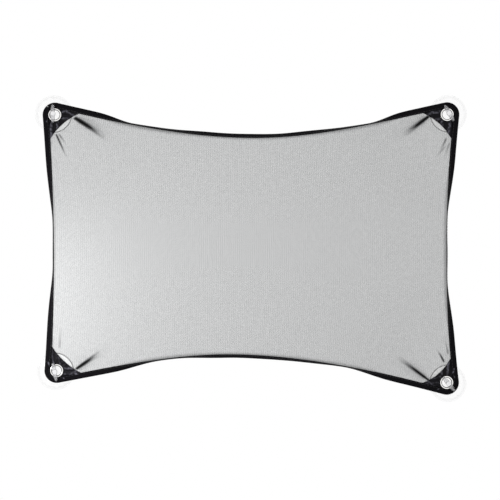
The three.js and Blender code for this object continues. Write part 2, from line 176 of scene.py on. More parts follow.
def edge_places(k, a):
    """Places at the distances a along an edge.

    The seam dips in from a line outside both eyelets by a depth that is two cubic curves, which meet level
    at the deepest place. A slow wave in the roll stands for the tape's slack.
    """
    edge = EDGES[k]
    start, along, outward, length = edge_span(k)
    first, last = edge_ends(k)
    deepest = length * edge["deepest"]
    end_depths = SEAM_RADIUS * (1 - np.cos(np.arctan(edge["slopes"])))
    near = a < deepest
    span = np.where(near, deepest - first, last - deepest)
    t = np.where(near, a - first, last - a) / span
    end = np.where(near, end_depths[0], end_depths[1])
    slope = np.where(near, edge["slopes"][0], edge["slopes"][1]) * span
    drop = edge["sag"] - end
    depth = end + drop * (3 * t**2 - 2 * t**3) + slope * (t**3 - 2 * t**2 + t)
    grade = (drop * (6 * t - 6 * t**2) + slope * (3 * t**2 - 4 * t + 1)) / span
    grade = np.where(near, grade, -grade)
    seam = start + a[:, None] * along + (SEAM_RADIUS - depth)[:, None] * outward
    out = outward + grade[:, None] * along
    out = out / np.linalg.norm(out, axis=1)[:, None]
    reach = np.minimum(a, length - a)
    begins, full, peak, middle, settled = edge["roll"]
    roll = peak * smoothstep(reach, begins, full) - (peak - middle) * smoothstep(reach, full, settled)
    slack = sum(size * np.sin(a / run + shift * k) for size, run, shift in SLACK_WAVES)
    roll = np.clip(roll + slack * smoothstep(reach, begins, full), 0, 89)
    return np.column_stack([seam, out, np.radians(roll), reach])


def corner_places(k, shares):
    """Places on the round of a corner, on an arc about its eyelet, at shares of its turn."""
    before = edge_places((k + 3) % 4, np.array([edge_ends((k + 3) % 4)[1]]))[0, OUT]
    after = edge_places(k, np.array([edge_ends(k)[0]]))[0, OUT]
    begin = math.atan2(before[1], before[0])
    turn = (begin - math.atan2(after[1], after[0])) % (2 * math.pi)
    angle = begin - turn * shares
    out = np.column_stack([np.cos(angle), np.sin(angle)])
    still = np.zeros(len(shares))
    return np.column_stack([eyelet_at[k] + SEAM_RADIUS * out, out, still, still])


def graded_steps(k, step, corner_step):
    """Distances along an edge and the number of steps up to each, which is the integral of one over the
    step. A step is corner_step near both ends and step between."""
    first, last = edge_ends(k)
    a = np.linspace(first, last, EDGE_SAMPLES)
    reach = np.minimum(a - first, last - a)
    density = 1 / (corner_step + (step - corner_step) * smoothstep(reach, CORNER_ZONE, 2 * CORNER_ZONE))
    steps = np.append(0, np.cumsum((density[1:] + density[:-1]) / 2)) * (a[1] - a[0])
    return a, steps


def side_places(k, step, corner_step, corner_steps):
    """Places along one edge, from the middle of its first corner to the middle of its last. An edge and the
    one across from it have as many places."""
    a, steps = graded_steps(k, step, corner_step)
    across = graded_steps((k + 2) % 4, step, corner_step)[1]
    count = round((steps[-1] + across[-1]) / 2)
    runs = np.interp(np.linspace(0, steps[-1], count + 1), steps, a)
    half = np.linspace(0, 0.5, corner_steps + 1)
    return np.vstack(
        [
            corner_places(k, 0.5 + half[:-1]),
            edge_places(k, runs),
            corner_places((k + 1) % 4, half[1:]),
        ]
    )


def fold_waves(x, z):
    """How far the folds sink the mesh at places, and how much shade is painted in them, where the net also
    closes.

    Each is a valley along a line, with a low ridge on both sides, (1 - 2q^2) exp(-1.5 q^2) across for q half
    widths off the line, and it fades along the line. Its bottom, out to a share of q, lies doubled and is
    painted dark, a painted shade.
    """
    sink, closing_and_painted_shade = np.zeros_like(x), np.zeros_like(x)
    for k, start, angle, length, depth, widths, spread, dark in FOLDS:
        across = (x - eyelet_at[k, 0]) * INWARD[k, 0] - start[0]
        up = (z - eyelet_at[k, 1]) * INWARD[k, 1] - start[1]
        c, s = math.cos(math.radians(angle)), math.sin(math.radians(angle))
        run, off = across * c + up * s, up * c - across * s
        q = off / (np.where(off < 0, *widths) + spread * np.maximum(run, 0))
        fade = smoothstep(run, 0, FOLD_RISE) * (1 - smoothstep(run, FOLD_RISE, length))
        sink += depth * fade * (1 - 2 * q**2) * np.exp(-1.5 * q**2)
        closing_and_painted_shade += dark * fade**2 * np.exp(-((q / FOLD_CORE) ** 2) / 2)
    return sink, np.minimum(closing_and_painted_shade, 1)


def mesh_height(x, z):
    """Height of the mesh: level around the eyelets, bellied out towards the middle, less its folds."""
    reach = np.full_like(x, 1.0)
    for eyelet in eyelet_at:
        reach = np.minimum(reach, np.hypot(x - eyelet[0], z - eyelet[1]))
    lift = EDGE_LIFT * smoothstep(reach, *LIFT_REACH)
    belly = CROWN * smoothstep(reach, *BELLY_REACH)
    return MESH_LEVEL + lift + belly - fold_waves(x, z)[0]


def curl_points(places, inset, rise):
    """Places through the curled edge. inset is the length of mesh in from the seam, less than 0 inside the
    tape, and rise is a distance out from the mesh, square to it. Both are (places, columns) arrays."""
    roll = places[:, ROLL, None]
    flat_start = places[:, SEAM] - (CURL_RADIUS * np.sin(roll) + CURL_MARGIN) * places[:, OUT]
    base = mesh_height(flat_start[:, 0], flat_start[:, 1])[:, None]
    angle = np.where(inset < 0, roll, np.maximum(0, roll - inset / CURL_RADIUS))
    beyond = np.maximum(0, -inset)
    flat = np.maximum(0, inset - CURL_RADIUS * roll)
    back = CURL_RADIUS * (np.sin(roll) - np.sin(angle)) + flat
    off = beyond * np.cos(roll) - back + rise * np.sin(angle)
    height = base - CURL_RADIUS * (1 - np.cos(angle)) - beyond * np.sin(roll) + rise * np.cos(angle)
    place = places[:, None, SEAM] + off[..., None] * places[:, None, OUT]
    return np.stack([place[..., 0], -height, place[..., 1]], axis=-1)


def grid_faces(rows, columns, wrap_rows=False, wrap_columns=False):
    """Corner numbers of the quads of a grid of points, stored row by row."""
    i = np.arange(rows if wrap_rows else rows - 1)[:, None]
    j = np.arange(columns if wrap_columns else columns - 1)[None, :]
    after, beside = (i + 1) % rows, (j + 1) % columns
    corners = [i * columns + j, i * columns + beside, after * columns + beside, after * columns + j]
    return np.stack(corners, axis=-1).reshape(-1, 4)


def new_piece(name, points, faces, uv=None, merge=0.0):
    """A smooth mesh object of (n, 3) points and (m, 4) faces, with a pair of uv lengths for each point.
    Points closer than merge become one, which closes seams and poles."""
    data = bpy.data.meshes.new(name)
    data.vertices.add(len(points))
    data.vertices.foreach_set("co", points.astype(np.float32).ravel())
    data.loops.add(faces.size)
    data.loops.foreach_set("vertex_index", faces.astype(np.int32).ravel())
    data.polygons.add(len(faces))
    data.polygons.foreach_set("loop_start", np.arange(0, faces.size, 4, dtype=np.int32))
    if uv is not None:
        layer = data.uv_layers.new(name="cloth")
        layer.data.foreach_set("uv", uv[faces.ravel()].astype(np.float32).ravel())
    data.update(calc_edges=True)
    if merge:
        shell = bmesh.new()
        shell.from_mesh(data)
        bmesh.ops.remove_doubles(shell, verts=shell.verts, dist=merge)
        bmesh.ops.recalc_face_normals(shell, faces=shell.faces)
        shell.to_mesh(data)
        shell.free()
    data.validate()
    data.shade_smooth()
    piece = bpy.data.objects.new(name, data)
    bpy.context.collection.objects.link(piece)
    return piece


def set_values(data, name, values):
    """Stores one value for each point of a mesh, for its material to read."""
    made = data.attributes.new(name, "FLOAT", "POINT")
    made.data.foreach_set("value", values.astype(np.float32).ravel())


def point_places(data):
    """The places of a mesh's points, as an (n, 3) array."""
    places = np.empty(len(data.vertices) * 3)
    data.vertices.foreach_get("co", places)
    return places.reshape(-1, 3)


def finish_piece(piece, slot, material, *nodes):
    """Gives a piece its material, and says what it rides on and the nodes that it stands for. slot is not
    used.
    """
    piece.data.materials.append(material)
    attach(piece, "root")
    if nodes:
        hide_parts(*nodes)


def colour(code):
    """The linear colour, with alpha 1, of an sRGB hex code."""
    parts = [int(code[i : i + 2], 16) / 255 for i in (0, 2, 4)]
    return (*(c / 12.92 if c <= 0.04045 else ((c + 0.055) / 1.055) ** 2.4 for c in parts), 1.0)


def add_node(tree, kind, inputs, **settings):
    """Adds a node. inputs maps each socket's name or number to a value or to another node's output."""
    made = tree.nodes.new(f"ShaderNode{kind}")
    for setting, value in settings.items():
        setattr(made, setting, value)
    for socket, value in inputs.items():
        if isinstance(value, bpy.types.NodeSocket):
            tree.links.new(value, made.inputs[socket])
        else:
            made.inputs[socket].default_value = value
    return made


def new_material(name):
    """A material with nodes, and its node tree, emptied but for the output."""
    material = bpy.data.materials.new(name)
    material.use_nodes = True
    tree = material.node_tree
    tree.nodes.clear()
    return material, tree


def wave(tree, length, pitch, form="SINE"):
    """A sine or cosine of a length, which repeats at every pitch."""
    turned = add_node(tree, "Math", {0: length, 1: 2 * math.pi / pitch}, operation="MULTIPLY")
    return add_node(tree, "Math", {0: turned.outputs[0]}, operation=form).outputs[0]


def make_mesh_panel():
    """The field is spanned evenly between the four rows where the curl begins: a Coons patch, the sum of
    the blends both ways less the blend of its corners. Rings around it carry the curl and the hem."""
    sides = [side_places(k, GRID_STEP, GRID_STEP_CORNER, CORNER_STEPS) for k in range(4)]
    starts = [curl_points(p, CURL_RADIUS * p[:, ROLL, None] + CURL_MARGIN, 0)[:, 0] for p in sides]
    top, right, bottom, left = (row[:, [0, 2]] for row in starts)
    bottom, left = bottom[::-1], left[::-1]

    def shares(row):
        runs = np.append(0, np.cumsum(np.linalg.norm(np.diff(row, axis=0), axis=1)))
        return runs / runs[-1]

    us = ((shares(top) + shares(bottom)) / 2)[None, :, None]
    vs = ((shares(left) + shares(right)) / 2)[:, None, None]
    field = (
        (1 - vs) * top[None]
        + vs * bottom[None]
        + (1 - us) * left[:, None]
        + us * right[:, None]
        - (1 - us) * (1 - vs) * top[0]
        - us * (1 - vs) * top[-1]
        - (1 - us) * vs * bottom[0]
        - us * vs * bottom[-1]
    )
    down, across = field.shape[:2]
    flat = field.reshape(-1, 2)
    points = np.column_stack([flat[:, 0], -mesh_height(flat[:, 0], flat[:, 1]), flat[:, 1]])
    cut = np.array(FLAT_SIZE)
    uv = np.stack(np.broadcast_arrays(us[..., 0] * cut[0], (1 - vs[..., 0]) * cut[1]), axis=-1).reshape(-1, 2)
    faces = grid_faces(down, across)[:, ::-1]

    # Rings: the field's own rim, the curl, the seam and the hem
    loop = np.vstack([places[:-1] for places in sides])
    numbers = np.arange(down * across).reshape(down, across)
    rim = np.concatenate([numbers[0, :-1], numbers[:-1, -1], numbers[-1, :0:-1], numbers[:0:-1, 0]])
    start = CURL_RADIUS * loop[:, ROLL, None] + CURL_MARGIN
    hem = TAPE_WIDTH - TAPE_THICKNESS - CLEARANCE
    curl = start * np.linspace(1, 0, CURL_STEPS + 1)[None, 1:]
    inside = np.broadcast_to(-hem * np.linspace(0, 1, HEM_STEPS + 1)[1:], (len(loop), HEM_STEPS))
    insets = np.hstack([curl, inside])
    rings = curl_points(loop, insets, 0).transpose(1, 0, 2)
    ring_uv = uv[rim][None] + (start - insets).T[..., None] * loop[None, :, OUT]
    base = len(points)
    points = np.vstack([points, rings.reshape(-1, 3)])
    uv = np.vstack([uv, ring_uv.reshape(-1, 2)])
    n = len(loop)
    all_rings = np.vstack([rim, base + np.arange(rings.shape[0] * n).reshape(-1, n)])
    beside = np.roll(all_rings, -1, axis=1)
    band = np.stack([all_rings[:-1], all_rings[1:], beside[1:], beside[:-1]], axis=-1).reshape(-1, 4)
    faces = np.vstack([faces, band[:, ::-1]])

    # An eyelet's hole is opened from a small gap in the net, r to sqrt(hole^2 + r^2 (1 - hole^2 / R^2))
    keep = np.ones(len(faces), bool)
    for eyelet in eyelet_at:
        middles = points[faces].mean(axis=1)[:, [0, 2]]
        keep &= np.linalg.norm(middles - eyelet, axis=1) > HOLE_START
        away = points[:, [0, 2]] - eyelet
        r = np.maximum(np.linalg.norm(away, axis=1), 1e-6)
        opened = np.sqrt(CLOTH_HOLE**2 + r**2 * (1 - (CLOTH_HOLE / HOLE_STRETCH) ** 2))
        factor = np.where(r < HOLE_STRETCH, opened / r, 1)
        points[:, [0, 2]] = eyelet + away * factor[:, None]
    faces = faces[keep]
    used = np.unique(faces)
    renumber = np.zeros(len(points), int)
    renumber[used] = np.arange(len(used))
    panel = new_piece("mesh_panel_knit", points[used], renumber[faces], uv[used])
    # Painted shade in the bottom of the folds, where the net also closes
    set_values(panel.data, "closing_and_painted_shade", fold_waves(points[used, 0], points[used, 2])[1])
    # Each point's distance from the nearest cup, for the painted disc and rim line of the cup behind the net
    from_cups = np.linalg.norm(points[used][:, None, [0, 2]] - cup_at, axis=2)
    set_values(panel.data, "from_cup", from_cups.min(axis=1))
    wall = panel.modifiers.new("wall", "SOLIDIFY")
    wall.thickness = MESH_THICKNESS
    wall.offset = 0
    return panel


# Knitted polyester net with an aluminium-grey coat: fine loops around diamond holes that let light
# through, and faint lines along its wales. The real holes and wales are about 0.8 mm apart, and both are
# drawn coarser so that they show.
KNIT_PITCH = (0.0012, 0.0013)
KNIT_OPEN = 0.34
KNIT_SOFT = 0.06
WALE_PITCH = 0.0022
KNIT_YARN = "b4b5b5"
KNIT_YARN_DARK = "9d9e9f"
# Painted shade: the yarn's colour in the bottom of a fold
KNIT_YARN_PAINTED_FOLD_SHADE = "08080a"
# Painted shade and painted light for a cup behind the net: a dark line at its rim and a pale disc inside
KNIT_YARN_PAINTED_RIM_SHADE = "08080a"
KNIT_YARN_PAINTED_CUP_LIGHT = "c8c9c9"
# How far from a cup's axis the painted dark line of its rim lies on the net, and half the width of that
# painted line
CUP_RIM_SEEN = (0.0202, 0.0008)


def knit_material():
    """Diamond holes where cos(2 pi u / p) cos(2 pi v / q) is high, on the cloth's own lengths u and v.

    One attribute is 1 in the bottom of a fold, where the net lies over itself: its holes close, and the yarn
    there is painted near black, a painted shade. from_cup is the distance from the nearest cup's axis. The
    cup behind the net is painted on it, as a painted pale disc of light inside a painted dark line of shade.
    """
    material, tree = new_material("silver_knit_mesh")
    cloth = add_node(tree, "UVMap", {}, uv_map="cloth").outputs["UV"]
    axes = add_node(tree, "SeparateXYZ", {"Vector": cloth}).outputs
    waves = [wave(tree, axis, pitch, "COSINE") for axis, pitch in zip(axes, KNIT_PITCH)]
    hole = add_node(tree, "Math", {0: waves[0], 1: waves[1]}, operation="MULTIPLY").outputs[0]
    closing_and_painted_shade = add_node(tree, "Attribute", {}, attribute_name="closing_and_painted_shade").outputs["Fac"]
    hole_edge = {0: hole, 1: KNIT_OPEN - KNIT_SOFT, 2: KNIT_OPEN + KNIT_SOFT, 3: 1.0, 4: 0.0}
    solid = add_node(tree, "MapRange", hole_edge).outputs[0]
    solid = add_node(tree, "Math", {0: solid, 1: closing_and_painted_shade}, operation="ADD", use_clamp=True).outputs[0]
    wales = wave(tree, axes[0], WALE_PITCH)
    uneven = add_node(tree, "TexNoise", {"Vector": cloth, "Scale": 240.0, "Detail": 3.0}).outputs["Fac"]
    uneven = add_node(tree, "Math", {0: wales, 1: 0.30, 2: uneven}, operation="MULTIPLY_ADD").outputs[0]
    shade = add_node(tree, "MapRange", {0: uneven, 1: 0.15, 2: 0.85}).outputs[0]
    yarns = {0: shade, 6: colour(KNIT_YARN_DARK), 7: colour(KNIT_YARN)}
    yarn = add_node(tree, "Mix", yarns, data_type="RGBA").outputs[2]
    from_cup = add_node(tree, "Attribute", {}, attribute_name="from_cup").outputs["Fac"]
    rim, half = CUP_RIM_SEEN
    disc = {0: from_cup, 1: rim - half / 2, 2: rim + half / 2, 3: 1.0, 4: 0.0}
    painted_cup_light = add_node(tree, "MapRange", disc).outputs[0]
    # Painted light: the net is paler where a cup's clear disc lies behind it
    yarns = {0: painted_cup_light, 6: yarn, 7: colour(KNIT_YARN_PAINTED_CUP_LIGHT)}
    yarn = add_node(tree, "Mix", yarns, data_type="RGBA").outputs[2]
    off_rim = add_node(tree, "Math", {0: from_cup, 1: rim}, operation="SUBTRACT").outputs[0]
    off_rim = add_node(tree, "Math", {0: off_rim}, operation="ABSOLUTE").outputs[0]
    painted_rim_shade = add_node(tree, "MapRange", {0: off_rim, 1: half / 3, 2: half, 3: 1.0, 4: 0.0}).outputs[0]
    # Painted shade: a dark line where a cup's rim lies behind the net, and near black in the bottom of the
    # folds
    for share, code in ((painted_rim_shade, KNIT_YARN_PAINTED_RIM_SHADE), (closing_and_painted_shade, KNIT_YARN_PAINTED_FOLD_SHADE)):
        yarn = add_node(tree, "Mix", {0: share, 6: yarn, 7: colour(code)}, data_type="RGBA").outputs[2]
    relief = add_node(tree, "MapRange", {0: hole, 1: -0.6, 2: KNIT_OPEN, 3: 1.0, 4: 0.0}).outputs[0]
    bump = add_node(tree, "Bump", {"Height": relief, "Strength": 0.5, "Distance": 0.00015})
    look = {
        "Base Color": yarn,
        "Metallic": 0.10,
        "Roughness": 0.6,
        "Specular IOR Level": 0.25,
        "Alpha": solid,
        "Normal": bump.outputs["Normal"],
        "Sheen Weight": 0.15,
    }
    shader = add_node(tree, "BsdfPrincipled", look)
    add_node(tree, "OutputMaterial", {0: shader.outputs[0]})
    return material


panel = make_mesh_panel()
finish_piece(panel, "silver_mesh", knit_material(), "mesh_panel")


# The binding: one strip of black elastic tape, folded over the mesh's edge and sewn through, its two ends
# meeting at the top left corner. It gathers around the corners and rolls back along the edges.
TAPE_STEP = 0.0016
TAPE_CORNER_STEPS = 24
TAPE_FOLD = 0.0010
TAPE_PUFF = 0.00012
TAPE_END_GAP = 0.0004
STITCH_INSET = 0.0012
GATHER_PITCH = 0.0031
GATHER_DEPTH = 0.00022
GATHER_WANDER = (1.7, 0.011)
GATHER_LOSS = 0.75
GATHER_FADE = (0.010, 0.045)
PATCH_THICKNESS = 0.0006
PATCH_LEG = 0.0256
SLOT_TAPER = (0.004, 0.014)
TAPE_SQUEEZE = 0.00005
SLOT_AT_SIDE = MESH_THICKNESS / 2 + TAPE_SQUEEZE
SLOT_AT_CORNER = MESH_THICKNESS / 2 + CLEARANCE + PATCH_THICKNESS + CLEARANCE


def tape_slot(places):
    """Half the width of the slot in the tape, which is wider where the patches go in with the mesh."""
    slim = smoothstep(places[:, REACH] - PATCH_LEG, *SLOT_TAPER)
    return (SLOT_AT_CORNER + (SLOT_AT_SIDE - SLOT_AT_CORNER) * slim)[:, None]


def tape_path(step, corner_steps):
    """Places all the way round, from the middle of the top left corner back to it, and their runs."""
    loop = np.vstack([side_places(k, step, step, corner_steps)[: None if k == 3 else -1] for k in range(4)])
    outer = curl_points(loop, np.full((len(loop), 1), -TAPE_WIDTH / 2), np.zeros((len(loop), 1)))[:, 0]
    run = np.append(0, np.cumsum(np.linalg.norm(np.diff(outer, axis=0), axis=1)))
    return loop, run


def gather(run, a, reach):
    """Small crosswise puckers of the tape, strongest at its outer edge and near the corners."""
    sway, sway_run = GATHER_WANDER
    ripple = np.sin(2 * math.pi * run / GATHER_PITCH + sway * np.sin(run / sway_run))
    near = 1 - GATHER_LOSS * smoothstep(reach, *GATHER_FADE)
    return GATHER_DEPTH * ripple * near * smoothstep(a, STITCH_INSET, TAPE_WIDTH)


def make_binding():
    """A section of two walls, a half round fold and a slot between them, carried along the seam."""
    loop, run = tape_path(TAPE_STEP, TAPE_CORNER_STEPS)
    slot = tape_slot(loop)
    wall = slot + TAPE_THICKNESS
    flat = np.linspace(0, 1, 8)[:-1] * (TAPE_WIDTH - TAPE_FOLD)
    bend = np.linspace(math.pi / 2, -math.pi / 2, 9)
    deep = TAPE_WIDTH - TAPE_THICKNESS
    slot_a = np.array([0, deep / 2, deep, deep, deep / 2, 0])
    slot_side = np.array([-1, -1, -0.8, 0.8, 1, 1])
    a = np.concatenate([flat, TAPE_WIDTH - TAPE_FOLD + TAPE_FOLD * np.cos(bend), flat[::-1], slot_a])
    side = np.concatenate([np.ones(len(flat)), np.sin(bend), -np.ones(len(flat))])
    outer = len(side)
    past_stitch = (a[:outer] - STITCH_INSET) / (TAPE_WIDTH - STITCH_INSET)
    puff = TAPE_PUFF * np.sin(math.pi * np.clip(past_stitch, -0.5, 1))
    folds = gather(run[:, None], a[None, :outer], loop[:, REACH, None])
    walls = side * (wall + puff + np.maximum(folds, -0.5 * TAPE_THICKNESS))
    rise = np.hstack([walls, slot_side * slot])
    inset = np.broadcast_to(-a, rise.shape)
    points = curl_points(loop, inset, rise)
    for end, inner in ((0, 1), (-1, -2)):
        way = points[inner, 0] - points[end, 0]
        points[end] += way / np.linalg.norm(way) * TAPE_END_GAP / 2
    rows, columns = points.shape[:2]
    around = np.append(0, np.cumsum(np.abs(np.diff(a)) + 0.0002))
    uv = np.stack(np.broadcast_arrays(run[:, None], around[None, :]), axis=-1)
    faces = grid_faces(rows, columns, wrap_columns=True)
    tape = new_piece("edge_binding_tape", points.reshape(-1, 3), faces, uv.reshape(-1, 2))
    shell = bmesh.new()
    shell.from_mesh(tape.data)
    bmesh.ops.holes_fill(shell, edges=[edge for edge in shell.edges if edge.is_boundary])
    bmesh.ops.recalc_face_normals(shell, faces=shell.faces)
    shell.to_mesh(tape.data)
    shell.free()
    return tape


# Black woven elastic: ribs across the tape about 0.7 mm apart, over a fine lengthwise grain. It is matt, and
# the raised tops of its ribs are painted a little lighter, a painted highlight.
TAPE_COLOUR = "060507"
TAPE_COLOUR_PAINTED_HIGHLIGHT = "121114"
RIB_PITCH = 0.0007


def tape_material():
    """Ribs from a sine of the length along the tape, broken up by noise."""
    material, tree = new_material("black_elastic_tape")
    cloth = add_node(tree, "UVMap", {}, uv_map="cloth").outputs["UV"]
    axes = add_node(tree, "SeparateXYZ", {"Vector": cloth}).outputs
    ribs = wave(tree, axes[0], RIB_PITCH)
    fuzz = add_node(tree, "TexNoise", {"Vector": cloth, "Scale": 2600.0, "Detail": 2.0}).outputs["Fac"]
    relief = add_node(tree, "Math", {0: ribs, 1: 0.5, 2: fuzz}, operation="MULTIPLY_ADD").outputs[0]
    # Painted highlight: the higher the ribs and the fuzz, the lighter the colour
    painted_light_tint = add_node(tree, "MapRange", {0: relief, 1: -0.1, 2: 1.1}).outputs[0]
    painted_light_tints = {0: painted_light_tint, 6: colour(TAPE_COLOUR), 7: colour(TAPE_COLOUR_PAINTED_HIGHLIGHT)}
    ribbed = add_node(tree, "Mix", painted_light_tints, data_type="RGBA").outputs[2]
    bump = add_node(tree, "Bump", {"Height": relief, "Strength": 0.6, "Distance": 0.00012})
    look = {
        "Base Color": ribbed,
        "Roughness": add_node(tree, "MapRange", {0: fuzz, 1: 0.3, 2: 0.7, 3: 0.55, 4: 0.8}).outputs[0],
        "Specular IOR Level": 0.04,
        "Normal": bump.outputs["Normal"],
    }
    shader = add_node(tree, "BsdfPrincipled", look)
    add_node(tree, "OutputMaterial", {0: shader.outputs[0]})
    return material


binding = make_binding()
finish_piece(binding, "black_tape", tape_material(), "edge_binding")

# Lockstitches in black polyester thread hold both walls of the tape to the mesh. Each is a short strand
# that sinks into the tape at both ends.
STITCH_PITCH = 0.0032
STITCH_LENGTH = 0.0026
STITCH_FIRST = 0.9
THREAD_RADIUS = 0.00019
THREAD_BOW = (0.7, 1.2)
STITCH_RINGS = 6
STITCH_SIDES = 6


def make_stitches():
    """Each stitch is a spindle: a circle whose radius is an ellipse of the length along it, blunt at the
    tips, and whose centre bows out of the tape. They are laid at even runs, on both faces."""
    loop, run = tape_path(TAPE_STEP, TAPE_CORNER_STEPS)
    count = int(run[-1] / STITCH_PITCH) - 1
    t = np.linspace(-1, 1, STITCH_RINGS + 1)
    starts = (np.arange(count) + STITCH_FIRST) * STITCH_PITCH
    runs = (starts[:, None] + STITCH_LENGTH * (t + 1) / 2).ravel()
    places = np.column_stack([np.interp(runs, run, column) for column in loop.T])
    places[:, OUT] /= np.linalg.norm(places[:, OUT], axis=1)[:, None]
    wall = tape_slot(places) + TAPE_THICKNESS
    around = np.linspace(0, 2 * math.pi, STITCH_SIDES, endpoint=False)
    radius = THREAD_RADIUS * np.sqrt(np.clip(1.02 - t**2, 0, 1))
    bow = THREAD_RADIUS * (THREAD_BOW[0] - THREAD_BOW[1] * t**4)
    radius, bow = (np.tile(values, count)[:, None] for values in (radius, bow))
    strands = []
    for face in (1, -1):
        inset = -STITCH_INSET + radius * np.cos(around)
        rise = face * (wall + bow + radius * np.sin(around))
        points = curl_points(places, inset, rise)
        strands.append(points.reshape(count, STITCH_RINGS + 1, STITCH_SIDES, 3))
    points = np.concatenate(strands)
    one = grid_faces(STITCH_RINGS + 1, STITCH_SIDES, wrap_columns=True)
    step = (STITCH_RINGS + 1) * STITCH_SIDES
    faces = (one[None] + step * np.arange(2 * count)[:, None, None]).reshape(-1, 4)
    return new_piece("binding_stitches", points.reshape(-1, 3), faces)


def thread_material():
    """Twisted black thread, a little shinier than the tape."""
    material, tree = new_material("black_polyester_thread")
    place = add_node(tree, "TexCoord", {}).outputs["Object"]
    twist = add_node(tree, "TexNoise", {"Vector": place, "Scale": 3000.0}).outputs["Fac"]
    bump = add_node(tree, "Bump", {"Height": twist, "Strength": 0.4, "Distance": 0.00005})
    look = {
        "Base Color": colour("19181b"),
        "Roughness": add_node(tree, "MapRange", {0: twist, 1: 0.3, 2: 0.7, 3: 0.35, 4: 0.6}).outputs[0],
        "Normal": bump.outputs["Normal"],
    }
    shader = add_node(tree, "BsdfPrincipled", look)
    add_node(tree, "OutputMaterial", {0: shader.outputs[0]})
    return material


stitches = make_stitches()
finish_piece(stitches, "black_tape", thread_material())


# The corner patches: black coated nylon cloth on both faces of the mesh, with a leg along each edge that
# is caught in the tape. The pull of the eyelet creases them.
PATCH_THROAT = 0.0128
PATCH_TUCK = 0.004
PATCH_RINGS = 34
LEG_POINTS = 26
TURN_POINTS = 30
BOW_POINTS = 49
TUCK_POINTS = 6

# Creases that fan out from the eyelet: waves to a radian, their twist per metre out, their shift from
# corner to corner, and the size and number of a slower wave that keeps them uneven
FAN_WAVES = 13
FAN_TWIST = 120
FAN_SHIFT = 1.9
FAN_WANDER = (1.2, 5)
FAN_BEGIN = (0.007, 0.010)

# Creases along both edges: their run over a radian, where they start, and the size and run of a slower
# wave along them
ALONG_RUN = 0.0011
ALONG_START = -0.004
ALONG_WANDER = (1.6, 0.009)
ALONG_BEGIN = (-0.002, 0.008)

# How both make up the height of the cloth, with an even swell, and how they make up the painted highlight on
# its crests
CREASE_HEIGHT = 0.0008
CREASE_SINK = 0.0001
CREASE_SHARES = (0.55, 0.6, 0.4)
CREASE_BEGIN = (0.0076, 0.0105)
CREASE_END = 0.0015
PAINTED_HIGHLIGHT_SHARES = (0.35, 0.65)
PAINTED_HIGHLIGHT_FROM = 0.15
PAINTED_HIGHLIGHT_BEGIN = (0.0070, 0.0085)

# The band of painted highlight along the mesh's main fold, off the fold's line
BAND_OFFSET = -0.0017
BAND_WIDTH = 0.0009
BAND_STRENGTH = 0.8
BAND_BEGIN = (0.0080, 0.0100)


def patch_outline(k):
    """The patch's outline, clockwise from the end of its first leg and back along the bowed inner edge."""
    before = (k + 3) % 4
    length = edge_span(before)[3]
    first = edge_places(before, np.linspace(length - PATCH_LEG, edge_ends(before)[1], LEG_POINTS))
    turn = corner_places(k, np.linspace(0, 1, TURN_POINTS)[1:-1])
    last = edge_places(k, np.linspace(edge_ends(k)[0], PATCH_LEG, LEG_POINTS))
    places = np.vstack([first, turn, last])
    outer = places[:, SEAM] + PATCH_TUCK * places[:, OUT]
    one, two = first[0, SEAM], last[-1, SEAM]
    middle = (one + two) / 2
    way = middle - eyelet_at[k]
    throat = eyelet_at[k] + way / np.linalg.norm(way) * PATCH_THROAT
    control = 2 * throat - middle
    t = np.linspace(0, 1, BOW_POINTS)[:, None]
    bow = (1 - t) ** 2 * two + 2 * t * (1 - t) * control + t**2 * one
    step = np.linspace(0, 1, TUCK_POINTS)[1:-1, None]
    return np.vstack([outer, outer[-1] + (two - outer[-1]) * step, bow, one + (outer[0] - one) * step])


